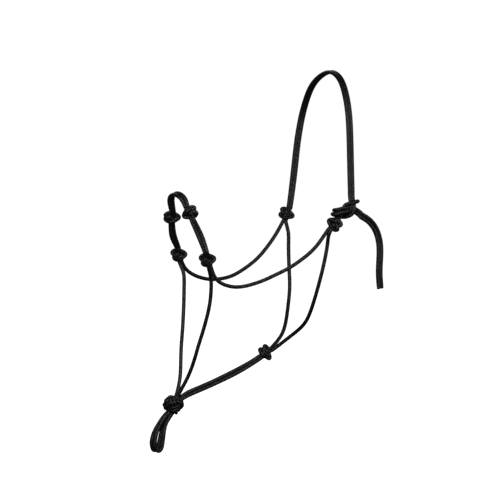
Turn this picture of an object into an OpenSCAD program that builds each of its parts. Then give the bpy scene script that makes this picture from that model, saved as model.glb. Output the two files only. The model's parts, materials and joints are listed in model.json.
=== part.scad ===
// Rope halter for a full-size horse, hung as it sits on the head.
// Millimetres. +Z up, -X towards the horse's nose, -Y towards the horse's near (left) side.
// The origin is the underside of the crown at the top of its arch, where it rests on the poll.

/* [Rope] */
// Diameter of the braided rope
rope_d = 6; // [5:0.5:6.5]
// Clear gap between two strands that run side by side
strand_gap = 0.4; // [0.3:0.1:1]
// Number of flat sides round each rope
rope_sides = 8; // [8:1:12]
// Largest distance between two rings along a rope
ring_step = 15; // [10:1:20]
// Distance between rings in the tight bends of the loops
bend_step = 6; // [4:1:8]

/* [Knots] */
// Radius from a small knot's axis to the middle of its centre turn
knot_turn_r = 6.8; // [6:0.2:7.5]
// Distance between neighbouring turns of a small knot
knot_pitch = 6.2; // [5.5:0.1:6.5]
// Radius from the fiador knot's centre to the middle of its woven turns
fiador_turn_r = 13.6; // [12:0.2:14]
// Angle between neighbouring bands of the fiador knot
fiador_band = 30; // [28:1:32]
// Radius from the middle of the sheet bend to the middle of its turns
sheet_bend_r = 10; // [9:0.1:11]

/* [Tail] */
// Length of the heat-sealed tip of the tail
seal_length = 5; // [3:0.5:8]
// Extra radius of the heat-sealed tip over the rope
seal_flare = 0.5; // [0:0.1:0.8]

/* [Hidden] */

rope_r = rope_d / 2;
pair_shift = (rope_d + strand_gap) / 2;
rope_colour = [0.05, 0.05, 0.055];
knot_fn = 48;

// Knot centres
near_cheek = [-36, -91, -255];
off_cheek = [-36, 91, -256];
near_nose = [-269, -56, -308];
off_nose = [-269, 56, -312];
near_bridge = [-293, -33, -225];
off_bridge = [-293, 33, -241];
fiador = [-307, 0, -570];
throat = [-123, 0, -488];

// Rope routes, each a list of points on the centreline
crown_route = [
    [-32, 92, -240], [-22, 95, -190], [-14, 95, -122], [-7, 85, -67], [-4, 52, -23], [0, 0, 3],
    [3, -35, -4], [3, -60, -28], [1, -78, -62], [-1, -86, -101], [-3, -92, -168], [-4, -95, -204]
];
tie_loop_route = [
    [-28, -92, -243], [-21, -96, -231], [-12, -98, -218], [-3, -99, -211], [5, -98, -212], [8, -97, -219],
    [2, -95, -228], [-8, -92, -238], [-19, -91, -247]
];
near_cheek_route = [
    [-42, -91, -262], [-81, -88, -297], [-118, -84, -324], [-147, -80, -338], [-175, -76, -349],
    [-211, -69, -357], [-236, -64, -353], [-254, -61, -342], [-264, -58, -324], [-267, -57, -314]
];
off_cheek_route = [
    [-41, 91, -264], [-64, 88, -298], [-93, 85, -328], [-120, 81, -345], [-153, 76, -359], [-186, 70, -362],
    [-211, 66, -359], [-236, 61, -350], [-254, 58, -338], [-265, 57, -318]
];
near_leg_route = [[-273, -52, -292], [-281, -47, -266], [-288, -38, -243], [-292, -34, -230]];
off_leg_route = [[-273, 52, -296], [-280, 48, -280], [-288, 39, -258], [-292, 34, -246]];
nose_top_route = [
    [-294, -31, -221], [-299, -22, -206], [-304, -8, -197], [-305, 6, -197], [-301, 20, -209], [-294, 31, -237]
];
near_chin_route = [
    [-264, -50, -325], [-258, -50, -338], [-257, -50, -352], [-259, -47, -389], [-267, -38, -434],
    [-273, -33, -458], [-279, -25, -490], [-286, -16, -518], [-297, -6, -545], [-303, -4, -558]
];
off_chin_route = [
    [-266, 50, -329], [-260, 50, -343], [-260, 50, -356], [-264, 44, -400], [-271, 35, -443], [-277, 28, -469],
    [-282, 20, -495], [-287, 12, -521], [-297, 4, -547], [-303, 4, -558]
];
near_throat_route = [
    [-115, -4, -481], [-98, -6, -469], [-87, -22, -458], [-74, -45, -437], [-69, -58, -418], [-64, -70, -387],
    [-59, -78, -357], [-54, -83, -324], [-48, -84, -288], [-42, -84, -271]
];
off_throat_route = [
    [-115, 4, -482], [-97, 7, -470], [-76, 25, -454], [-48, 60, -405], [-40, 72, -377], [-38, 79, -350],
    [-37, 83, -311], [-36, 84, -287], [-36, 84, -273]
];
jaw_route = [
    [-137, 0, -494], [-151, 0, -503], [-181, 0, -517], [-222, 0, -533], [-252, 0, -543], [-278, 0, -550],
    [-286, 0, -553]
];
lead_loop_route = [
    [-321, 0, -592], [-329, 0, -601], [-338, 0, -611], [-346, 0, -624], [-349, 0, -635], [-341, 0, -647],
    [-331, 0, -640], [-329, 0, -625], [-326, 0, -612], [-320, 0, -601], [-313, 0, -592]
];
tail_upper_route = [
    [11, -96, -239], [27, -97, -248], [41, -98, -264], [48, -99, -283], [50, -100, -302]
];
tail_lower_route = [[50, -100, -307], [49, -100, -323], [48, -100, -346], [50, -100, -368]];

// Vectors along and across the ropes
nose_across = [0.954, 0, 0.299];
sideways = [0, 1, 0];

function unit(v) = v / norm(v);
function curve_point(a, b, c, d, t) =
    0.5 * (2 * b + (c - a) * t + (2 * a - 5 * b + 4 * c - d) * t * t + (3 * b - a - 3 * c + d) * t * t * t);
function before(route, i) = i > 0 ? route[i - 1] : 2 * route[0] - route[1];
function after(route, i) = let (last = len(route) - 1)
    i + 2 <= last ? route[i + 2] : 2 * route[last] - route[last - 1];
function smooth(route, step) = [
    for (i = [0 : len(route) - 2])
        let (n = max(1, ceil(norm(route[i + 1] - route[i]) / step)))
        for (k = [0 : n - 1]) curve_point(before(route, i), route[i], route[i + 1], after(route, i), k / n),
    route[len(route) - 1]
];
function tangent(path, i) = unit(path[min(i + 1, len(path) - 1)] - path[max(i - 1, 0)]);
function first_side(t) = abs(t[1]) < 0.9 ? unit(cross(t, [0, 1, 0])) : unit(cross(t, [1, 0, 0]));
function side(path, i) = i == 0 ? first_side(tangent(path, 0))
    : let (t = tangent(path, i), s = side(path, i - 1)) unit(s - (s * t) * t);
function moved(route, shift) = [for (p = route) p + shift];
function beside(route, plane, shift) = [
    for (i = [0 : len(route) - 1]) route[i] + shift * unit(cross(tangent(route, i), plane))
];

// A rope of round section swept along a smooth curve through the route's points
module rope(route, step = ring_step) {
    path = smooth(route, step);
    last = len(path) - 1;
    points = [
        for (i = [0 : last])
            let (t = tangent(path, i), a = side(path, i), b = cross(t, a))
            for (k = [0 : rope_sides - 1])
                let (turn = 360 * k / rope_sides) path[i] + rope_r * (cos(turn) * a + sin(turn) * b)
    ];
    start_cap = [for (k = [0 : rope_sides - 1]) k];
    end_cap = [for (k = [rope_sides - 1 : -1 : 0]) last * rope_sides + k];
    walls = [
        for (i = [0 : last - 1], k = [0 : rope_sides - 1])
            let (m = (k + 1) % rope_sides, low = i * rope_sides, high = low + rope_sides)
            [low + k, high + k, high + m, low + m]
    ];
    color(rope_colour) polyhedron(points, concat([start_cap, end_cap], walls), convexity = 6);
}

// A doubled overhand knot: three turns round a solid core, about its own Z axis
module small_knot(centre, tilt) {
    color(rope_colour) translate(centre) rotate(tilt) rotate_extrude($fn = knot_fn) {
        for (k = [-1 : 1])
            translate([knot_turn_r - 0.6 * abs(k), k * knot_pitch]) circle(r = rope_r, $fn = 32);
        translate([0, -knot_pitch - 1]) square([knot_turn_r, 2 * knot_pitch + 2]);
    }
}

module turn_of_rope(centre, tilt) {
    color(rope_colour) translate(centre) rotate(tilt)
        rotate_extrude($fn = knot_fn) translate([sheet_bend_r, 0]) circle(r = rope_r, $fn = 32);
}

// Crown: two strands over the poll, tied to the tie loop with a sheet bend
module crown_front_strand() rope(moved(crown_route, [-pair_shift, 0, 0]));
module crown_rear_strand() rope(moved(crown_route, [pair_shift, 0, 0]));
module tie_loop() rope(tie_loop_route, bend_step);
module sheet_bend_upper_turn() turn_of_rope([-15, -96, -222], [0, 30, 0]);
module sheet_bend_lower_turn() turn_of_rope([-20, -94, -232], [0, 30, 0]);

// Headstall: cheek knots, cheek ropes and nose knots
module near_cheek_knot() small_knot(near_cheek, [0, 45, 0]);
module off_cheek_knot() small_knot(off_cheek, [0, 30, 0]);
module near_cheek_rope() rope(near_cheek_route);
module off_cheek_rope() rope(off_cheek_route);
module near_nose_knot() small_knot(near_nose, [0, -20, 0]);
module off_nose_knot() small_knot(off_nose, [0, -20, 0]);

// Noseband: two strands side by side, with a bridge knot on each side
module noseband_strand(route, shift) rope(moved(route, shift * nose_across));
module noseband_near_front_strand() noseband_strand(near_leg_route, -pair_shift);
module noseband_near_rear_strand() noseband_strand(near_leg_route, pair_shift);
module noseband_off_front_strand() noseband_strand(off_leg_route, -pair_shift);
module noseband_off_rear_strand() noseband_strand(off_leg_route, pair_shift);
module noseband_top_front_strand() noseband_strand(nose_top_route, -pair_shift);
module noseband_top_rear_strand() noseband_strand(nose_top_route, pair_shift);
module near_bridge_knot() small_knot(near_bridge, [-30, -15, 0]);
module off_bridge_knot() small_knot(off_bridge, [30, -15, 0]);

// Chin ropes, the woven fiador knot, and the lead loop's two bights under it
module near_chin_rope() rope(near_chin_route);
module off_chin_rope() rope(off_chin_route);
module fiador_knot() {
    color(rope_colour) translate(fiador) rotate([0, 25, 0]) rotate_extrude($fn = knot_fn)
        intersection() {
            union() {
                circle(r = fiador_turn_r, $fn = knot_fn);
                for (k = [-2 : 2])
                    rotate(k * fiador_band) translate([fiador_turn_r, 0]) circle(r = rope_r, $fn = 32);
            }
            translate([0, -2 * fiador_turn_r]) square([2 * fiador_turn_r, 4 * fiador_turn_r]);
        }
}
module lead_loop_near_bight() rope(moved(lead_loop_route, [0, -pair_shift, 0]), bend_step);
module lead_loop_far_bight() rope(moved(lead_loop_route, [0, pair_shift, 0]), bend_step);

// Throat ropes and their knot
module near_throat_rope() rope(near_throat_route);
module off_throat_rope() rope(off_throat_route);
module throat_knot() small_knot(throat, [0, 66, 0]);

// Jaw strap: two strands from the throat knot to the fiador knot
module jaw_upper_strand() rope(beside(jaw_route, sideways, -pair_shift));
module jaw_lower_strand() rope(beside(jaw_route, sideways, pair_shift));

// Tail: the crown's two free ends, heat-sealed together at the tip
module tail_upper_front_strand() rope(beside(tail_upper_route, sideways, -pair_shift), ring_step / 2);
module tail_upper_rear_strand() rope(beside(tail_upper_route, sideways, pair_shift), ring_step / 2);
module tail_lower_front_strand() rope(beside(tail_lower_route, sideways, -pair_shift));
module tail_lower_rear_strand() rope(beside(tail_lower_route, sideways, pair_shift));
module tail_end_seal() {
    tip = tail_lower_route[len(tail_lower_route) - 1];
    color(rope_colour) for (side = [-1, 1])
        translate(tip + [side * pair_shift, 0, -seal_length])
            cylinder(r = rope_r + min(seal_flare, strand_gap) / 2, h = seal_length, $fn = 32);
}

crown_front_strand();
crown_rear_strand();
tie_loop();
sheet_bend_upper_turn();
sheet_bend_lower_turn();
near_cheek_knot();
off_cheek_knot();
near_cheek_rope();
off_cheek_rope();
near_nose_knot();
off_nose_knot();
noseband_near_front_strand();
noseband_near_rear_strand();
noseband_off_front_strand();
noseband_off_rear_strand();
noseband_top_front_strand();
noseband_top_rear_strand();
near_bridge_knot();
off_bridge_knot();
near_chin_rope();
off_chin_rope();
fiador_knot();
lead_loop_near_bight();
lead_loop_far_bight();
near_throat_rope();
off_throat_rope();
throat_knot();
jaw_upper_strand();
jaw_lower_strand();
tail_upper_front_strand();
tail_upper_rear_strand();
tail_lower_front_strand();
tail_lower_rear_strand();
tail_end_seal();
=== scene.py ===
"""Rope halter: braided ropes and drawn-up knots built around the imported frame.

Routes and knots are laid out in millimetres, in the frame of the part, and become metres in the meshes.
"""

import json
import math

import bpy
import numpy as np
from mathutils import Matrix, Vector


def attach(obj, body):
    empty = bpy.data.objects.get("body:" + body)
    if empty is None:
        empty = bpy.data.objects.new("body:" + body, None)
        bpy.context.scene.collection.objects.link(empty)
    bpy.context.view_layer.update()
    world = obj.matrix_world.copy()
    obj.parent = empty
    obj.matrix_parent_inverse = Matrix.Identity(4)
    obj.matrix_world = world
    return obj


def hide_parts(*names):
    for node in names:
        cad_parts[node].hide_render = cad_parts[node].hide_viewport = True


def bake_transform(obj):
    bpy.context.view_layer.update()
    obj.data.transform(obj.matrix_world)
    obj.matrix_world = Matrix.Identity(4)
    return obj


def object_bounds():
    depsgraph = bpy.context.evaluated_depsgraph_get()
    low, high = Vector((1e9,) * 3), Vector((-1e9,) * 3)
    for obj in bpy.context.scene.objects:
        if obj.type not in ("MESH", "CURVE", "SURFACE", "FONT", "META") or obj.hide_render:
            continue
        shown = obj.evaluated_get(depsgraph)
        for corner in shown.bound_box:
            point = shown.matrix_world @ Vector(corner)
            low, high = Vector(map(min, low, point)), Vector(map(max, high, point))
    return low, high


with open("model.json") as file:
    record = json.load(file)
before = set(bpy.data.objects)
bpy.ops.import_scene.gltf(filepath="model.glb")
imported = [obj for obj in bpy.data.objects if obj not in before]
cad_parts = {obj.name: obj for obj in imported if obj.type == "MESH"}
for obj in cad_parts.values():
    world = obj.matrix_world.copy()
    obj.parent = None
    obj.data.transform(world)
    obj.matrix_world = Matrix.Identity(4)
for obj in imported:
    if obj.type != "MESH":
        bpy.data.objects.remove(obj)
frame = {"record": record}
cad_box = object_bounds()

MM = 0.001

# ---------------------------------------------------------------- camera
VIEW_AZIMUTH = math.radians(-27)
VIEW_ELEVATION = math.radians(7.8)
LENS_MM = 654.5
VIEW_TARGET = Vector((-143, 25, -307)) * MM
VIEW_DISTANCE = 16.0

camera_data = bpy.data.cameras.new("camera")
camera_data.lens = LENS_MM
camera_data.sensor_width = 36.0
camera_data.clip_end = 100.0
camera = bpy.data.objects.new("camera", camera_data)
bpy.context.scene.collection.objects.link(camera)
view_back = Vector(
    (
        math.sin(VIEW_AZIMUTH) * math.cos(VIEW_ELEVATION),
        -math.cos(VIEW_AZIMUTH) * math.cos(VIEW_ELEVATION),
        math.sin(VIEW_ELEVATION),
    )
)
camera.location = VIEW_TARGET + view_back * VIEW_DISTANCE
camera.rotation_euler = view_back.to_track_quat("Z", "Y").to_euler()
bpy.context.scene.camera = camera

# ---------------------------------------------------------------- rope sizes
ROPE_TOP = 3.5  # from the middle of a rope to the top of its braid strands
PAIR_SHIFT = 3.2  # from the middle of a doubled rope to each strand
RING_STEP = 0.6  # between two rings of a rope's mesh
SIDES = 48  # round a rope
CARRIERS = 8  # braid strands in each direction
BRAID_PITCH = 26.0  # length of one turn of a braid strand
KNOT_SQUEEZE = 0.89  # a rope is that much thinner inside a knot
BRAID_RELIEF = 0.36  # height of a braid strand over the gaps
KNOT_REACH = 12.0  # from a small knot's centre to where its ropes leave it
KNOT_SQUASH = (0.93, 1.1, 1.15)  # along the ropes, across them and through the knot
KNOT_D = 4.6  # a rope's diameter where it is squeezed in a knot
KNOT_STEPS = 1100  # rounds of drawing up a small knot
FIADOR_STEPS = 260  # rounds of drawing up the fiador knot
BEND_STEPS = 160  # rounds of pressing the sheet bend's ropes apart

# ---------------------------------------------------------------- routes
CROWN = [
    (-21, 94, -190), (-12.5, 93.5, -122), (-5.5, 83.5, -67), (-3.5, 51.5, -22), (0, 0, 4), (3, -35, -3),
    (2, -59, -28), (-0.5, -76.5, -62), (-2.5, -85, -101), (-4, -91.5, -168), (-5, -95, -192),
]
NEAR_CHEEK = [
    (-76, -88, -297), (-115.5, -84, -324), (-147, -80, -338), (-175, -76, -349), (-211, -69, -357),
    (-236, -64, -353), (-254, -61, -342),
]
OFF_CHEEK = [
    (-64, 88, -298), (-93, 85, -328), (-120, 81, -345), (-153, 76, -359), (-186, 70, -362), (-211, 66, -359),
    (-236, 61, -350), (-254, 58, -338),
]
NEAR_LEG = [(-281, -47, -266)]
OFF_LEG = [(-282, 46, -276)]
NOSE_TOP = [(-295, -22, -202.5), (-301, -9, -194), (-304, 6, -195), (-302, 20, -208)]
NEAR_CHIN = [
    (-258, -50, -338), (-257, -50, -352), (-259, -47, -389), (-267, -38, -434), (-273, -33, -458),
    (-279, -25, -490), (-286, -16, -518), (-297, -6, -545),
]
OFF_CHIN = [
    (-260, 50, -343), (-260, 50, -356), (-264, 44, -400), (-271, 35, -443), (-277, 28, -469),
    (-282, 20, -495), (-287, 12, -521), (-297, 4, -547),
]
NEAR_THROAT = [
    (-87, -22, -458), (-74, -45, -437), (-69, -58, -418), (-64, -70, -387), (-59, -78, -357),
    (-52.5, -83, -324), (-45.5, -84, -288),
]
OFF_THROAT = [
    (-76, 25, -454), (-48, 60, -405), (-40, 72, -377), (-38, 79, -350), (-37, 83, -311), (-36, 84, -287),
]
JAW = [
    (-151, 0, -503), (-181, 0, -516.5), (-222, 0, -532), (-252, 0, -542), (-278, 0, -550), (-286, 0, -554),
]
LEAD_LOOP = [
    (-312, 0, -576), (-326.5, 0, -590), (-334.5, 0, -601), (-341, 0, -612), (-345, 0, -624), (-346, 0, -636),
    (-341.5, 0, -647.5), (-333.5, 0, -643.5), (-330, 0, -627), (-327, 0, -612), (-323.5, 0, -601),
    (-317, 0, -591), (-306, 0, -577),
]
LOOP_PARTS_AT = -595.0  # the two bights part below this height
LOOP_PARTED_BY = 35.0  # and no further from that much below it
LOOP_SPREAD = 0.06  # sideways, for each mm below that height
LOOP_STAGGER = 0.03  # fore and aft, for each mm below that height
TAIL_UPPER = [(27, -97, -248), (41, -98, -264), (48, -99, -283), (50, -100, -302)]
TAIL_LOWER = [(49, -100, -323), (48, -100, -346), (50, -100, -368)]

# The tie loop, and the crown's doubled end through it, round both its legs and under itself
TIE_LOOP = [
    (-28, -96, -237), (-26, -101, -228), (-21, -104, -221), (-13, -106, -217), (-4, -106, -214.5),
    (4, -103, -214), (8, -96, -215.5), (5, -88, -218.5), (-4, -87, -223), (-14, -91, -231), (-22, -91, -239),
]
# Each place of the crown's two strands in the bend, and the way from there to the front strand
SHEET_BEND = [
    ((-5, -95, -203), (-3, 0, 0)), ((-6, -98, -213), (-3, 0, 0)), ((-6, -102.5, -223), (-2.6, 0.8, 0.8)),
    ((-8, -103, -231), (-2, 1, 2)), ((-14, -97, -238.5), (-0.8, 0.8, 2.8)),
    ((-23, -87, -238.5), (0.8, 0, 3.2)), ((-32, -84, -235.5), (1.6, 0, 3.1)),
    ((-39, -90, -232), (1.6, 0, 3.4)), ((-38.5, -100, -231), (1.2, 0, 3.6)),
    ((-30, -107, -228.5), (0.2, 0, 3.8)), ((-19, -107, -225.5), (-0.5, 0, 3.7)),
    ((-10, -97, -226), (-0.3, 0, 3.3)), ((1, -91, -230), (0.5, 0, 2.9)), ((11, -94, -236), (1.2, 0, 2.7)),
]
TAIL_START = (15.5, -96, -242)

# A loose overhand knot along X, in units of its loops' width, with one rope's height between crossings
LOOSE_OVERHAND = [
    (-6, 0, 0), (-4, 0, 0), (-2, 0, -1), (0, 0, 0), (1, 0, 1), (3, 0.5, 0), (4, 2, -1), (3, 4, 0), (0, 5, 0),
    (-2.5, 4, 0.5), (-2.5, 2, 1), (-2, 0, 1), (-1.5, -2, 0), (0, -2.5, -1), (1, -1.5, -1), (1, 0, -1),
    (1.5, 1.5, 0), (2.5, 2, 1), (4, 2, 1), (6, 1, 0.5), (8, 0, 0),
]


# ---------------------------------------------------------------- curve tools
def unit(v):
    v = np.asarray(v, float)
    return v / np.linalg.norm(v)


def tangents(path):
    t = np.gradient(path, axis=0)
    return t / np.linalg.norm(t, axis=1)[:, None]


def resampled(path, step=None, count=None):
    """The path with evenly spaced points."""
    run = np.concatenate([[0], np.cumsum(np.linalg.norm(np.diff(path, axis=0), axis=1))])
    if count is None:
        count = max(2, int(round(run[-1] / step)) + 1)
    at = np.linspace(0, run[-1], count)
    return np.stack([np.interp(at, run, path[:, k]) for k in range(3)], 1)


def catmull_rom(points, per_span=24):
    """A smooth curve through the points."""
    points = np.asarray(points, float)
    ends = np.vstack([2 * points[0] - points[1], points, 2 * points[-1] - points[-2]])
    t = np.linspace(0, 1, per_span, endpoint=False)[:, None]
    spans = []
    for a, b, c, d in zip(ends, ends[1:], ends[2:], ends[3:]):
        square = (2 * a - 5 * b + 4 * c - d) * t**2
        cube = (3 * b - a - 3 * c + d) * t**3
        spans.append(0.5 * (2 * b + (c - a) * t + square + cube))
    return np.vstack(spans + [points[-1:]])


def relaxed(path, rounds):
    """The path with its small kinks smoothed out, its two ends held."""
    path = path.copy()
    for _ in range(rounds):
        path[2:-2] += 0.5 * ((path[1:-3] + path[3:-1]) / 2 - path[2:-2])
    return path


def route(points, rounds=40):
    return relaxed(resampled(catmull_rom(points), step=2.0), rounds)


def rope_links(first, closed):
    """The two points of every link along the strands; first holds the number of each strand's first point."""
    a, b = [], []
    for k, (low, high) in enumerate(zip(first, first[1:])):
        a += list(range(low, high - 1))
        b += list(range(low + 1, high))
        if k in closed:
            a.append(high - 1)
            b.append(low)
    return np.array(a), np.array(b)


def draw_up(strands, held, moves, diameter, steps, press=0.04, bend=0.2, closed=(), rate=0.9965):
    """Pulls rope strands tight until they press on each other, as a knot is drawn up.

    held marks the points of each strand that follow moves, a start and an end place for every point.
    """
    count = [len(s) for s in strands]
    first = np.concatenate([[0], np.cumsum(count)])
    points = np.concatenate(strands).astype(float)
    start = points.copy()
    finish = np.concatenate(moves)
    fixed = np.concatenate(held)
    owner = np.repeat(np.arange(len(strands)), count)
    place = np.concatenate([np.arange(c) for c in count])
    a, b = rope_links(first, closed)
    before, after = np.arange(len(points)), np.arange(len(points))
    before[b], after[a] = a, b
    apart = np.abs(place[:, None] - place[None])
    for k in closed:
        block = np.ix_(owner == k, owner == k)
        apart[block] = np.minimum(apart[block], count[k] - apart[block])
    free = ~fixed
    both_fixed = fixed[:, None] & fixed[None]
    runs = np.linalg.norm(points[b] - points[a], axis=1)
    length = np.array([runs[owner[a] == k].mean() for k in range(len(count))])
    for step in range(steps):
        share = min(1.0, step / (0.6 * steps))
        points[fixed] = start[fixed] + (finish[fixed] - start[fixed]) * share
        middle = (points[before] + points[after]) / 2
        points[free] += bend * (middle - points)[free]
        window = np.ceil(1.25 * diameter / length)[owner]
        near = (owner[:, None] == owner[None]) & (apart <= window[:, None])
        for _ in range(2):
            span = points[b] - points[a]
            run = np.linalg.norm(span, axis=1)[:, None]
            pull = span / run * (run - length[owner[a]][:, None]) * 0.45
            shift = np.zeros_like(points)
            np.add.at(shift, a, pull)
            np.add.at(shift, b, -pull)
            points[free] += shift[free]
            dots = points @ points.T
            square = np.diag(dots)
            gap = np.sqrt(np.maximum(square[:, None] + square[None] - 2 * dots, 1e-9))
            over = np.where(near | both_fixed, 0, np.clip(diameter - gap, 0, None))
            push = over / gap
            hits = np.maximum((push > 0).sum(1), 1.0)[:, None]
            shift = (push.sum(1)[:, None] * points - push @ points) * 0.65 / hits
            points[free] += shift[free]
        deepest = np.maximum(over.max(1), 0)
        for k in range(len(count)):
            if not fixed[owner == k].all():
                tight = deepest[owner == k].mean() >= press * diameter
                length[k] *= 1.001 if tight else rate
    return [points[first[k] : first[k + 1]] for k in range(len(count))]


# ---------------------------------------------------------------- small knots
LOOSE_WIDTH = 8.5  # one unit of the loose knot
LOOSE_SHIFT = 3.3  # from its middle line to each strand
EAR_REACH = 10.0  # from a knot's middle to its outer loops
EAR_SPREAD = 0.24  # share by which those loops stand further out


def overhand_strands():
    """Both strands of a doubled overhand knot, drawn up, along X between -KNOT_REACH and KNOT_REACH."""
    path = catmull_rom(LOOSE_OVERHAND) * LOOSE_WIDTH
    path[:, 0] -= LOOSE_WIDTH
    t = tangents(path)
    side = np.cross(t, (0, 0, 1.0))
    side /= np.linalg.norm(side, axis=1)[:, None]
    strands, held, moves = [], [], []
    for sign in (1, -1):
        strand = resampled(path + sign * LOOSE_SHIFT * side, count=72)
        hold = np.zeros(len(strand), bool)
        move = strand.copy()
        hold[:2] = hold[-2:] = True
        row = -KNOT_D / 2 * sign
        move[0], move[1] = (-KNOT_REACH - 2, row, 0), (-KNOT_REACH, row, 0)
        move[-2], move[-1] = (KNOT_REACH, row, 0), (KNOT_REACH + 2, row, 0)
        strands.append(strand)
        held.append(hold)
        moves.append(move)
    drawn = draw_up(strands, held, moves, KNOT_D, KNOT_STEPS, press=0.07, bend=0.15)
    drawn = [relaxed(resampled(s[1:-1], step=1.0), 6) for s in drawn]
    inner = np.concatenate([s[12:-12] for s in drawn])
    offset = (inner.max(0) + inner.min(0)) / 2
    centred = []
    for s in drawn:
        k = np.arange(len(s))
        share = np.clip(np.minimum(k, k[::-1]) / KNOT_REACH, 0, 1)
        share = share * share * (3 - 2 * share)
        s = (s - share[:, None] * offset) * KNOT_SQUASH
        s[:, 1] *= 1 + EAR_SPREAD * (s[:, 1] / EAR_REACH) ** 2
        centred.append(s)
    return centred


class SmallKnot:
    """A placed overhand knot. Its ropes come in against axis and leave along it, apart along side.

    turned puts the knot in upside down, so that its wide end is at the other rope.
    """

    def __init__(self, centre, axis, side, size=1.0, turned=False):
        self.centre = np.array(centre, float)
        self.axis = unit(axis)
        self.side = unit(np.asarray(side, float) - self.axis * (np.asarray(side, float) @ self.axis))
        self.face = -np.cross(self.axis, self.side)
        self.size = size
        self.turned = turned

    def strand(self, row):
        """row 0 is the strand at -side, row 1 the strand at +side."""
        local = OVERHAND[row] * self.size
        if self.turned:
            local = OVERHAND[1 - row][::-1] * self.size * (-1, -1, 1)
        return self.centre + local[:, :1] * self.axis + local[:, 1:2] * self.side + local[:, 2:] * self.face

    def port(self, end, row, reach=6.0):
        """The place where a strand leaves the knot (end -1 or 1), and a point that far out."""
        place = self.strand(row)[0 if end < 0 else -1]
        return place, place + end * self.axis * reach


OVERHAND = overhand_strands()
NOSE_ACROSS = np.array((0.954, 0, 0.299))
TO_RIGHT = np.array((0.891, -0.454, 0))
TO_BACK = np.array((0.45, 0.883, -0.136))


def facing(degrees):
    """A side direction turned that far about the upright, from straight across the front view."""
    return TO_RIGHT * math.cos(math.radians(degrees)) + TO_BACK * math.sin(math.radians(degrees))


near_cheek = SmallKnot((-37, -91, -253), (-0.62, 0.04, -0.78), facing(-15), turned=True)
off_cheek = SmallKnot((-36, 91, -257), (-0.38, -0.03, -0.92), facing(0), 0.92)
near_nose = SmallKnot((-267, -56, -306.5), (0.25, -0.05, -0.97), facing(-25), 1.03)
off_nose = SmallKnot((-267, 56, -311.5), (0.25, 0.05, -0.97), facing(-25))
near_bridge = SmallKnot((-291, -33, -226), (0.2, -0.5, -0.84), facing(-20), turned=True)
off_bridge = SmallKnot((-292, 33, -241), (0.2, 0.5, -0.84), facing(0))
throat = SmallKnot((-124, 0, -488), (-0.87, 0, -0.5), (0.44, -0.34, -0.77), 0.95)


# ---------------------------------------------------------------- fiador knot
FIADOR = np.array((-307, 0, -568), float)
FIADOR_AXIS = unit((0.42, 0, 0.9))
FIADOR_R = 12.6
FIADOR_LAT = math.radians(62)
WEAVE_DEPTH = 3.2  # how far the weave goes over and under its middle radius
WEAVE_SHIFT = 2.9  # from the middle of the two passes to each of them
FIADOR_ROPE_D = 5.5  # a rope's diameter in the drawn-up ball


def fiador_weave():
    """Two parallel passes of a three-lead, four-bight woven ball; drawn_fiador draws them up round the ropes
    inside it.
    """
    u = unit(np.cross((0, 1, 0), FIADOR_AXIS))
    v = np.cross(FIADOR_AXIS, u)
    t = np.linspace(0, 6 * math.pi, 600, endpoint=False)
    latitude = FIADOR_LAT * np.cos(4 * t / 3)
    radius = FIADOR_R + WEAVE_DEPTH * np.sin(8 * t / 3)
    ring = np.cos(latitude)[:, None] * (np.cos(t)[:, None] * u + np.sin(t)[:, None] * v)
    out = ring + np.sin(latitude)[:, None] * FIADOR_AXIS
    path = FIADOR + radius[:, None] * out
    t_dir = np.roll(path, -1, 0) - np.roll(path, 1, 0)
    t_dir /= np.linalg.norm(t_dir, axis=1)[:, None]
    beside = np.cross(t_dir, out)
    start = int(np.argmin(radius[:120]))
    return [np.roll(path + s * WEAVE_SHIFT * beside, -start, 0) for s in (-1, 1)]


def drawn_fiador(ropes_inside):
    """The two woven passes, pulled snug round the ropes that enter and leave the ball."""
    inside = []
    for rope in ropes_inside:
        close = rope[np.linalg.norm(rope - FIADOR, axis=1) < 1.7 * FIADOR_R]
        inside.append(resampled(close, step=2.5))
    passes = [resampled(p, count=124) for p in fiador_weave()]
    strands = passes + inside
    held = [np.zeros(len(s), bool) for s in passes] + [np.ones(len(s), bool) for s in inside]
    drawn = draw_up(
        strands, held, strands, FIADOR_ROPE_D, FIADOR_STEPS, press=0.05, closed=(0, 1), rate=0.999
    )
    return [np.vstack([p, p[:1]]) for p in drawn[:2]]


# ---------------------------------------------------------------- ropes between the knots
def stretch(points, start=None, end=None):
    """A rope's centreline through the points, from one knot's port to another's."""
    points = [np.array(p, float) for p in points]
    if start:
        points = [*start] + points
    if end:
        points = points + [*end[::-1]]
    return route(points)


def shifted(points, shift):
    return [np.array(p, float) + shift for p in points]


JAW_SHIFT = 2.95  # from the middle of the jaw strap to each strand
JAW_END_SHIFT = 3.7  # the same, inside the fiador knot


def jaw_strand(side):
    """One of the jaw strap's strands: level at both ends, one above the other in the middle."""
    points = np.array(JAW, float)
    t = tangents(points)
    out = []
    for k, (p, direction) in enumerate(zip(points, t)):
        turn = math.pi / 2 * math.sin(math.pi * (k + 0.4) / len(points)) ** 0.7
        down = np.cross(direction, (0, 1, 0))
        out.append(p - side * JAW_SHIFT * (math.sin(turn) * down - math.cos(turn) * np.array((0, 1, 0))))
    return out + [np.array((-296, JAW_END_SHIFT * side, -560)), np.array((-305, JAW_END_SHIFT * side, -568))]


# From the middle of a doubled rope to its rear strand: crown, the noseband's legs, over the nose
CROWN_SHIFT = np.array((PAIR_SHIFT, 0, 0))
LEG_SHIFT = 3.7 * NOSE_ACROSS
NOSE_SHIFT = 3.9 * NOSE_ACROSS
# The noseband's legs bow out by that much between their knots
NEAR_LEG_BOW = np.array((4.0, 0, 0))
OFF_LEG_BOW = np.array((-2.4, 0, 0))

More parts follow.
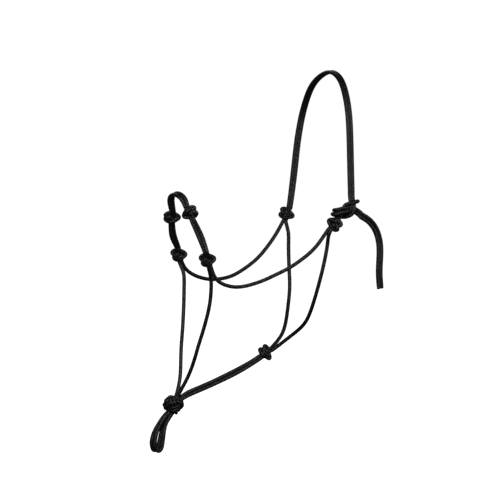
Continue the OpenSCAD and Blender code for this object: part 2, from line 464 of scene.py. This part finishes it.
near_cheek_path = stretch(NEAR_CHEEK, near_cheek.port(1, 0, 9), near_nose.port(1, 1))
off_cheek_path = stretch(OFF_CHEEK, off_cheek.port(1, 0), off_nose.port(1, 1))
near_throat_path = stretch(NEAR_THROAT[::-1], near_cheek.port(1, 1, 10), throat.port(-1, 1))
off_throat_path = stretch(OFF_THROAT[::-1], off_cheek.port(1, 1), throat.port(-1, 0))
near_chin_path = stretch(NEAR_CHIN + [(-303, -4, -558), (-308, -3, -568)], near_nose.port(1, 0))
off_chin_path = stretch(OFF_CHIN + [(-302, 3, -559), (-307, 3, -568)], off_nose.port(1, 0))
jaw_paths = [stretch(jaw_strand(1), throat.port(1, 0)), stretch(jaw_strand(-1), throat.port(1, 1))]
leg_paths, top_paths = {}, []
for row, sign in ((0, -1), (1, 1)):
    near_leg = shifted(NEAR_LEG, sign * LEG_SHIFT + NEAR_LEG_BOW)
    off_leg = shifted(OFF_LEG, sign * LEG_SHIFT + OFF_LEG_BOW)
    leg_paths["near", row] = stretch(near_leg, near_bridge.port(1, row), near_nose.port(-1, row))
    leg_paths["off", row] = stretch(off_leg, off_bridge.port(1, row), off_nose.port(-1, row))
    top = shifted(NOSE_TOP, sign * NOSE_SHIFT)
    top_paths.append(stretch(top, near_bridge.port(-1, row), off_bridge.port(-1, row)))

tail_middle = route([TAIL_START] + TAIL_UPPER + TAIL_LOWER)
tail_side = np.cross(tangents(tail_middle), (0, 1, 0))
tail_side /= np.linalg.norm(tail_side, axis=1)[:, None]
tail_pair = [tail_middle - PAIR_SHIFT * tail_side, tail_middle + PAIR_SHIFT * tail_side]

if tail_pair[0][0][2] < tail_pair[1][0][2]:
    tail_pair.reverse()
crown_paths = []
bend_strands = []
for row, sign in ((0, -1), (1, 1)):
    crown_paths.append(stretch(shifted(CROWN, sign * CROWN_SHIFT), off_cheek.port(-1, row)))
    turns = [np.array(place) - sign * np.array(offset, float) for place, offset in SHEET_BEND]
    joined = np.vstack([crown_paths[row][-1:], turns, tail_pair[row][:1]])
    bend_strands.append(resampled(catmull_rom(joined, 4), count=84))
loop_points = [near_cheek.port(-1, 0)[0], near_cheek.port(-1, 0)[1]] + TIE_LOOP
loop_points += [near_cheek.port(-1, 1)[1], near_cheek.port(-1, 1)[0]]
loop_strand = resampled(catmull_rom(loop_points), count=50)


BEND_ROPE_D = 5.9


def drawn_sheet_bend():
    """The tie loop and the crown's two strands round it, pressed apart where they overlap."""
    strands = [loop_strand] + bend_strands
    held = []
    for s in strands:
        hold = np.zeros(len(s), bool)
        hold[:2] = hold[-2:] = True
        held.append(hold)
    drawn = draw_up(strands, held, strands, BEND_ROPE_D, BEND_STEPS, press=9.0, bend=0.06, rate=1.0)
    return [relaxed(resampled(catmull_rom(s, 4), step=1.0), 6) for s in drawn]


tie_loop_path, *bend_paths = drawn_sheet_bend()
lead_paths = []
for sign in (-1, 1):
    bight = []
    for x, y, z in LEAD_LOOP:
        drop = min(LOOP_PARTED_BY, max(0.0, LOOP_PARTS_AT - z))
        bight.append((x - sign * LOOP_STAGGER * drop, sign * (PAIR_SHIFT + LOOP_SPREAD * drop), z))
    lead_paths.append(route(bight, rounds=4))
weave_paths = drawn_fiador([near_chin_path, off_chin_path, *jaw_paths, *lead_paths])


# ---------------------------------------------------------------- chains of sections
TAIL_SPLIT_Z = -288.0


def tail_sections(row):
    path = tail_pair[row]
    split = int(np.argmin(abs(path[:, 2] - TAIL_SPLIT_Z)))
    return path[: split + 1], path[split:]


def chain_of_crown(row, word, bend_piece):
    upper, lower = tail_sections(row)
    return [
        (f"tail_lower_{word}_strand", lower[::-1]),
        (f"tail_upper_{word}_strand", upper[::-1]),
        (bend_piece, bend_paths[row][::-1]),
        (f"crown_{word}_strand", crown_paths[row][::-1]),
        ("off_cheek_knot", off_cheek.strand(row)),
    ]


def noseband_sections(row, word):
    """From the near nose knot up over the nose to the off nose knot."""
    return [
        ("near_nose_knot", near_nose.strand(row)[::-1]),
        (f"noseband_near_{word}_strand", leg_paths["near", row][::-1]),
        ("near_bridge_knot", near_bridge.strand(row)[::-1]),
        (f"noseband_top_{word}_strand", top_paths[row]),
        ("off_bridge_knot", off_bridge.strand(row)),
        (f"noseband_off_{word}_strand", leg_paths["off", row]),
        ("off_nose_knot", off_nose.strand(row)),
    ]


def backwards(sections):
    return [(name, path[::-1]) for name, path in sections[::-1]]


chains = [
    chain_of_crown(0, "front", "sheet_bend_upper_turn")
    + [("off_cheek_rope", off_cheek_path)]
    + backwards(noseband_sections(1, "rear"))
    + [
        ("near_cheek_rope", near_cheek_path[::-1]),
        ("near_cheek_knot", near_cheek.strand(0)[::-1]),
        ("tie_loop", tie_loop_path),
        ("near_cheek_knot", near_cheek.strand(1)),
        ("near_throat_rope", near_throat_path),
        ("throat_knot", throat.strand(1)),
        ("jaw_lower_strand", jaw_paths[1]),
    ],
    chain_of_crown(1, "rear", "sheet_bend_lower_turn")
    + [
        ("off_throat_rope", off_throat_path),
        ("throat_knot", throat.strand(0)),
        ("jaw_upper_strand", jaw_paths[0]),
    ],
    [("near_chin_rope", near_chin_path[::-1])]
    + noseband_sections(0, "front")
    + [("off_chin_rope", off_chin_path)],
    [("lead_loop_near_bight", lead_paths[0])],
    [("lead_loop_far_bight", lead_paths[1])],
    [("fiador_knot", weave_paths[0])],
    [("fiador_knot", weave_paths[1])],
]


# ---------------------------------------------------------------- rope meshes
def ring_frames(centres):
    """A side direction for every ring, carried along the rope without twist."""
    t = tangents(centres)
    side = unit(np.cross(t[0], (0.3, 0.9, 0.2)))
    sides = [side]
    for k in range(1, len(centres)):
        step = centres[k] - centres[k - 1]
        square = step @ step
        mirrored = side - 2 / square * (step @ side) * step
        leaning = t[k - 1] - 2 / square * (step @ t[k - 1]) * step
        turn = t[k] - leaning
        square = turn @ turn
        side = mirrored if square < 1e-12 else mirrored - 2 / square * (turn @ mirrored) * turn
        side = unit(side - t[k] * (side @ t[k]))
        sides.append(side)
    sides = np.array(sides)
    return t, sides, np.cross(t, sides)


def braid_height(turn, along):
    """Height of a diamond braid, 0 in its gaps and 1 on its strands; turn counts rounds, along is in mm."""
    p = CARRIERS * (turn + along / BRAID_PITCH)
    q = CARRIERS * (turn - along / BRAID_PITCH)
    a, b = p - np.round(p), q - np.round(q)
    on_top = (np.round(p) + np.round(q)) % 2 < 0.5
    across, lengthways = np.where(on_top, a, b), np.where(on_top, b, a)
    back = np.sqrt(np.clip(1 - (1.85 * across) ** 2, 0, 1))
    return back * (0.35 + 0.65 * np.cos(math.pi * lengthways))


def tube_surface(centres, side, up, radius, turns):
    """Points and normals of a tube whose radius differs from ring to ring and round each ring."""
    angle = 2 * math.pi * turns
    out = np.cos(angle)[:, None] * side[:, None] + np.sin(angle)[:, None] * up[:, None]
    surface = centres[:, None] + radius[:, :, None] * out
    lengthways = np.gradient(surface, axis=0)
    round_it = np.roll(surface, -1, 1) - np.roll(surface, 1, 1)
    normals = np.cross(round_it, lengthways)
    normals /= np.linalg.norm(normals, axis=2)[:, :, None]
    return surface, normals


class Shape:
    """Vertices, faces and braid coordinates gathered for one piece."""

    def __init__(self):
        self.points, self.quads, self.fans, self.coords, self.normals = [], [], [], [], []
        self.count = 0

    def add_tube(self, surface, normals, centres, turns, along):
        rings, around = surface.shape[:2]
        self.points.append(surface.reshape(-1, 3))
        self.normals.append(normals.reshape(-1, 3))
        k = np.arange(rings - 1)[:, None] * around
        j = np.arange(around)[None]
        n = (j + 1) % around
        quads = np.stack([k + j, k + n, k + n + around, k + j + around], 2).reshape(-1, 4) + self.count
        self.quads.append(quads)
        u0 = np.broadcast_to(turns, (rings - 1, around))
        u1 = u0 + 1.0 / around
        v0 = np.broadcast_to(along[:-1, None] / BRAID_PITCH, (rings - 1, around))
        v1 = np.broadcast_to(along[1:, None] / BRAID_PITCH, (rings - 1, around))
        corners = [np.stack(c, 2) for c in ((u0, v0), (u1, v0), (u1, v1), (u0, v1))]
        self.coords.append(np.stack(corners, 2).reshape(-1, 2))
        first = self.count
        last = self.count + (rings - 1) * around
        self.points.append(np.array([centres[0], centres[-1]]))
        self.normals.append(np.array([unit(centres[0] - centres[1]), unit(centres[-1] - centres[-2])]))
        tip = self.count + rings * around
        for j in range(around):
            n = (j + 1) % around
            self.fans.append((first + n, first + j, tip))
            self.fans.append((last + j, last + n, tip + 1))
        self.count += rings * around + 2

    def build(self, name):
        points = np.concatenate(self.points) * MM
        quads = np.concatenate(self.quads)
        fans = np.array(self.fans)
        mesh = bpy.data.meshes.new(name)
        mesh.vertices.add(len(points))
        mesh.vertices.foreach_set("co", points.astype(np.float32).ravel())
        mesh.loops.add(quads.size + fans.size)
        mesh.loops.foreach_set("vertex_index", np.concatenate([quads.ravel(), fans.ravel()]).astype(np.int32))
        mesh.polygons.add(len(quads) + len(fans))
        starts = np.concatenate([np.arange(len(quads)) * 4, quads.size + np.arange(len(fans)) * 3])
        mesh.polygons.foreach_set("loop_start", starts.astype(np.int32))
        mesh.update(calc_edges=True)
        mesh.polygons.foreach_set("use_smooth", np.arange(len(mesh.polygons)) < len(quads))
        layer = mesh.uv_layers.new(name="braid")
        coords = np.concatenate([np.concatenate(self.coords), np.zeros((fans.size, 2))])
        layer.data.foreach_set("uv", coords.astype(np.float32).ravel())
        mesh.validate()
        mesh.normals_split_custom_set_from_vertices(np.concatenate(self.normals).tolist())
        piece = bpy.data.objects.new(name, mesh)
        bpy.context.scene.collection.objects.link(piece)
        return piece


SQUEEZE_RINGS = 15  # over which a rope thins at a knot


def chain_rings(chain):
    """Evenly spaced ring centres along a whole rope, and the number of the ring at each section's end."""
    whole = [chain[0][1]]
    for _, path in chain[1:]:
        whole.append(path[1:])
    marks = np.cumsum([len(p) for p in whole]) - 1
    dense = catmull_rom(np.concatenate(whole), 4)
    cuts = np.concatenate([[0], marks * 4])
    rings, ends = [dense[:1]], [0]
    for low, high in zip(cuts, cuts[1:]):
        rings.append(resampled(dense[low : high + 1], step=RING_STEP)[1:])
        ends.append(ends[-1] + len(rings[-1]))
    return np.concatenate(rings), ends


def rope_radius(chain, ends, turns, along):
    """The radius at every point of every ring: the braid's relief, and thinner inside the knots."""
    relief = braid_height(turns[None], along[:, None])
    radius = ROPE_TOP - BRAID_RELIEF * (1 - relief)
    squeeze = np.ones(len(along))
    for (name, _), low, high in zip(chain, ends, ends[1:]):
        squeeze[low:high] = KNOT_SQUEEZE if name.endswith("_knot") else 1.0
    window = np.ones(SQUEEZE_RINGS) / SQUEEZE_RINGS
    squeeze = np.convolve(np.pad(squeeze, SQUEEZE_RINGS // 2, mode="edge"), window, mode="valid")
    return radius * squeeze[:, None]


def add_chain(chain):
    """Adds a rope's sections to the shapes of their pieces.

    Returns the middle of its first ring, the way out of the rope there, and a side direction.
    """
    centres, ends = chain_rings(chain)
    direction, side, up = ring_frames(centres)
    along = np.concatenate([[0], np.cumsum(np.linalg.norm(np.diff(centres, axis=0), axis=1))])
    turns = np.arange(SIDES) / SIDES
    radius = rope_radius(chain, ends, turns, along)
    surface, normals = tube_surface(centres, side, up, radius, turns)
    for (name, _), low, high in zip(chain, ends, ends[1:]):
        shape = shapes.setdefault(name, Shape())
        part = slice(low, high + 1)
        shape.add_tube(surface[part], normals[part], centres[part], turns, along[part])
    return centres[0], -direction[0], side[0]


shapes = {}
seal_ends = []
for chain in chains:
    rope_end = add_chain(chain)
    if chain[0][0].startswith("tail_lower"):
        seal_ends.append(rope_end)

SEAL_LENGTH = 4.6
seal = Shape()
seal_share = np.array([0, 0.15, 0.35, 0.55, 0.75, 0.88, 0.96, 1.0])
seal_radius = np.array([2.7, 3.02, 3.12, 3.18, 3.2, 3.1, 2.75, 2.2])
for number, (tip, out, side) in enumerate(seal_ends):
    centres = tip[None] + out[None] * (seal_share * (SEAL_LENGTH + 0.4) - 0.4)[:, None]
    turns = np.arange(32) / 32
    lumps = 0.09 * np.sin(2 * math.pi * (3 * turns + 0.3 * number))
    lumps += 0.06 * np.sin(2 * math.pi * 7 * turns + number)
    radius = seal_radius[:, None] + lumps[None]
    sides = np.tile(side, (len(centres), 1))
    surface, normals = tube_surface(centres, sides, np.cross(out, sides), radius, turns)
    seal.add_tube(surface, normals, centres, turns, seal_share)
shapes["tail_end_seal"] = seal


# ---------------------------------------------------------------- materials
# The first colour is painted shade for the gaps between braid strands; low noise values reach towards it too.
GAP_PAINTED_SHADE_BLACK = (0.0008, 0.0008, 0.0009)
YARN_BLACK = (0.0032, 0.0032, 0.0036)
WORN_BLACK = (0.010, 0.010, 0.0112)
MELTED_DARK = (0.006, 0.006, 0.007)
MELTED_LIGHT = (0.02, 0.02, 0.022)


class Graph:
    """Short names for adding shader nodes to a material."""

    def __init__(self, name):
        self.material = bpy.data.materials.new(name)
        self.material.use_nodes = True
        self.tree = self.material.node_tree
        self.tree.nodes.clear()
        self.output = self.tree.nodes.new("ShaderNodeOutputMaterial")

    def node(self, kind, **values):
        made = self.tree.nodes.new(kind)
        for name, value in values.items():
            setattr(made, name, value)
        return made

    def link(self, source, target):
        self.tree.links.new(source, target)

    def math(self, operation, *inputs):
        made = self.node("ShaderNodeMath", operation=operation)
        for k, value in enumerate(inputs):
            if isinstance(value, (int, float)):
                made.inputs[k].default_value = value
            else:
                self.link(value, made.inputs[k])
        return made.outputs[0]

    def mix_value(self, share, a, b):
        """a where share is 0, b where share is 1."""
        rest = self.math("SUBTRACT", 1.0, share)
        return self.math("ADD", self.math("MULTIPLY", a, rest), self.math("MULTIPLY", b, share))

    def ramp(self, value, stops):
        made = self.node("ShaderNodeValToRGB")
        elements = made.color_ramp.elements
        while len(elements) < len(stops):
            elements.new(0.5)
        for element, (place, colour) in zip(elements, stops):
            element.position = place
            element.color = (*colour, 1)
        self.link(value, made.inputs["Fac"])
        return made.outputs["Color"]

    def noise(self, vector, scale, detail=3.0):
        made = self.node("ShaderNodeTexNoise")
        made.inputs["Scale"].default_value = scale
        made.inputs["Detail"].default_value = detail
        self.link(vector, made.inputs["Vector"])
        return made.outputs["Fac"]

    def bump(self, height, strength, distance, normal=None):
        made = self.node("ShaderNodeBump")
        made.inputs["Strength"].default_value = strength
        made.inputs["Distance"].default_value = distance
        self.link(height, made.inputs["Height"])
        if normal is not None:
            self.link(normal, made.inputs["Normal"])
        return made.outputs["Normal"]


def rope_material():
    """Black braided polyester: yarn lines in every braid strand, painted shade darkening the gaps between
    strands, a soft fibre sheen.
    """
    g = Graph("black_braided_rope")
    uv = g.node("ShaderNodeUVMap", uv_map="braid").outputs["UV"]
    parts = g.node("ShaderNodeSeparateXYZ")
    g.link(uv, parts.inputs[0])
    u8 = g.math("MULTIPLY", parts.outputs["X"], float(CARRIERS))
    v8 = g.math("MULTIPLY", parts.outputs["Y"], float(CARRIERS))
    p, q = g.math("ADD", u8, v8), g.math("SUBTRACT", u8, v8)
    p_cell, q_cell = g.math("ROUND", p), g.math("ROUND", q)
    a, b = g.math("SUBTRACT", p, p_cell), g.math("SUBTRACT", q, q_cell)
    under = g.math("GREATER_THAN", g.math("FLOORED_MODULO", g.math("ADD", p_cell, q_cell), 2.0), 0.5)
    across, lengthways = g.mix_value(under, a, b), g.mix_value(under, b, a)
    edge = g.math("ABSOLUTE", across)
    yarn = g.math("SINE", g.math("MULTIPLY_ADD", across, 31.0, g.math("MULTIPLY", lengthways, 5.0)))
    coordinates = g.node("ShaderNodeTexCoord").outputs["Object"]
    fibres = g.noise(coordinates, 2600.0, 4.0)
    wear = g.noise(coordinates, 38.0, 3.0)
    strand_key = g.node("ShaderNodeCombineXYZ")
    g.link(g.mix_value(under, p_cell, q_cell), strand_key.inputs[0])
    g.link(under, strand_key.inputs[1])
    white = g.node("ShaderNodeTexWhiteNoise", noise_dimensions="3D")
    g.link(strand_key.outputs[0], white.inputs["Vector"])
    tone = g.math("MULTIPLY_ADD", white.outputs["Value"], 0.16, 0.0)
    tone = g.math("ADD", tone, g.math("MULTIPLY", fibres, 0.45))
    tone = g.math("ADD", tone, g.math("MULTIPLY", wear, 0.4))
    # Painted shade: the tone is pulled down towards each braid strand's edges, which darkens the gaps between
    # strands.
    gap_painted_shade = g.math("POWER", g.math("MULTIPLY", edge, 2.0), 3.0)
    tone = g.math("SUBTRACT", tone, g.math("MULTIPLY", gap_painted_shade, 0.5))
    colour = g.ramp(tone, [(0.0, GAP_PAINTED_SHADE_BLACK), (0.42, YARN_BLACK), (0.8, WORN_BLACK)])
    shader = g.node("ShaderNodeBsdfPrincipled")
    g.link(colour, shader.inputs["Base Color"])
    rough = g.math("MULTIPLY_ADD", fibres, 0.22, 0.24)
    g.link(rough, shader.inputs["Roughness"])
    shader.inputs["Specular IOR Level"].default_value = 0.5
    shader.inputs["Sheen Weight"].default_value = 0.03
    shader.inputs["Sheen Roughness"].default_value = 0.45
    height = g.math("ADD", g.math("MULTIPLY", yarn, 0.35), g.math("MULTIPLY", fibres, 0.5))
    g.link(g.bump(height, 0.55, 0.0002), shader.inputs["Normal"])
    g.link(shader.outputs[0], g.output.inputs["Surface"])
    return g.material


def seal_material():
    """Melted and hardened polyester: glossy black with lumps and fine pits."""
    g = Graph("fused_rope_tip")
    coordinates = g.node("ShaderNodeTexCoord").outputs["Object"]
    lumps = g.noise(coordinates, 420.0, 2.0)
    pits = g.noise(coordinates, 2400.0, 5.0)
    shader = g.node("ShaderNodeBsdfPrincipled")
    colour = g.ramp(lumps, [(0.3, MELTED_DARK), (0.75, MELTED_LIGHT)])
    g.link(colour, shader.inputs["Base Color"])
    g.link(g.math("MULTIPLY_ADD", pits, 0.35, 0.16), shader.inputs["Roughness"])
    height = g.math("ADD", lumps, g.math("MULTIPLY", pits, 0.3))
    g.link(g.bump(height, 0.6, 0.0004), shader.inputs["Normal"])
    g.link(shader.outputs[0], g.output.inputs["Surface"])
    return g.material


rope_look = rope_material()
seal_look = seal_material()


BODY_OF = {node: body for body, nodes in frame["record"]["behaviour"]["bodies"].items() for node in nodes}
# A rope that leaves a knot of another body: the knot's body, its own body, and its path; such a piece is left
# unattached to any body
BENDS = {
    "near_chin_rope": ("headstall", "chin", near_chin_path),
    "off_chin_rope": ("headstall", "chin", off_chin_path),
    "near_throat_rope": ("headstall", "throat", near_throat_path),
    "off_throat_rope": ("headstall", "throat", off_throat_path),
    "jaw_upper_strand": ("throat", "jaw", jaw_paths[0]),
    "jaw_lower_strand": ("throat", "jaw", jaw_paths[1]),
    "crown_front_strand": ("headstall", "crown", crown_paths[0]),
    "crown_rear_strand": ("headstall", "crown", crown_paths[1]),
    "noseband_near_front_strand": ("headstall", "noseband", leg_paths["near", 0][::-1]),
    "noseband_near_rear_strand": ("headstall", "noseband", leg_paths["near", 1][::-1]),
    "noseband_off_front_strand": ("headstall", "noseband", leg_paths["off", 0][::-1]),
    "noseband_off_rear_strand": ("headstall", "noseband", leg_paths["off", 1][::-1]),
    "tie_loop": ("headstall", "crown", tie_loop_path),
    "lead_loop_near_bight": ("chin", "lead_loop", lead_paths[0]),
    "lead_loop_far_bight": ("chin", "lead_loop", lead_paths[1]),
    "tail_upper_front_strand": ("crown", "tail", tail_sections(0)[0]),
    "tail_upper_rear_strand": ("crown", "tail", tail_sections(1)[0]),
    "tail_lower_front_strand": ("tail", "tail_end", tail_sections(0)[1]),
    "tail_lower_rear_strand": ("tail", "tail_end", tail_sections(1)[1]),
}
for name, shape in shapes.items():
    piece = shape.build(name + "_look")
    piece.data.materials.append(seal_look if name == "tail_end_seal" else rope_look)
    if name in BENDS:
        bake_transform(piece)
    else:
        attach(piece, BODY_OF[name])
    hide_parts(name)


# ---------------------------------------------------------------- stage and light
def plain_look(name, colour, glow):
    g = Graph(name)
    shader = g.node("ShaderNodeBsdfPrincipled")
    shader.inputs["Base Color"].default_value = (*colour, 1)
    shader.inputs["Roughness"].default_value = 0.9
    shader.inputs["Emission Color"].default_value = (1, 1, 1, 1)
    shader.inputs["Emission Strength"].default_value = glow
    g.link(shader.outputs[0], g.output.inputs["Surface"])
    return g.material


FLOOR_DROP = 0.12
FLOOR_SIZE = 60.0
floor_z = cad_box[0][2] - FLOOR_DROP
floor_mesh = bpy.data.meshes.new("floor")
half = FLOOR_SIZE / 2
corners = [(-half, -half, floor_z), (half, -half, floor_z), (half, half, floor_z), (-half, half, floor_z)]
floor_mesh.from_pydata(corners, [], [(0, 1, 2, 3)])
floor = bpy.data.objects.new("floor", floor_mesh)
bpy.context.scene.collection.objects.link(floor)
floor.data.materials.append(plain_look("pale_floor", (0.9, 0.9, 0.9), 1.0))
floor.visible_diffuse = False
floor.visible_glossy = False

world = bpy.data.worlds.new("studio")
world.use_nodes = True
tree = world.node_tree
tree.nodes.clear()
seen = tree.nodes.new("ShaderNodeBackground")
seen.inputs["Color"].default_value = (1, 1, 1, 1)
seen.inputs["Strength"].default_value = 1.0
lit = tree.nodes.new("ShaderNodeBackground")
lit.inputs["Color"].default_value = (1, 1, 1, 1)
lit.inputs["Strength"].default_value = 0.03
path_node = tree.nodes.new("ShaderNodeLightPath")
chooser = tree.nodes.new("ShaderNodeMixShader")
output = tree.nodes.new("ShaderNodeOutputWorld")
tree.links.new(path_node.outputs["Is Camera Ray"], chooser.inputs[0])
tree.links.new(lit.outputs[0], chooser.inputs[1])
tree.links.new(seen.outputs[0], chooser.inputs[2])
tree.links.new(chooser.outputs[0], output.inputs[0])
bpy.context.scene.world = world


def soft_light(name, place, size, power):
    data = bpy.data.lights.new(name, "AREA")
    data.size = size
    data.energy = power
    lamp = bpy.data.objects.new(name, data)
    bpy.context.scene.collection.objects.link(lamp)
    lamp.location = place
    lamp.rotation_euler = (lamp.location - VIEW_TARGET).to_track_quat("Z", "Y").to_euler()


soft_light("key", VIEW_TARGET + view_back * 2.4 + Vector((-0.45, 0, 1.0)), 0.7, 44)
soft_light("fill", VIEW_TARGET + Vector((1.9, -1.2, 0.4)), 1.2, 9)
soft_light("back", VIEW_TARGET + Vector((0.6, 2.3, 1.4)), 1.6, 12)
bpy.context.scene.view_settings.view_transform = "Standard"
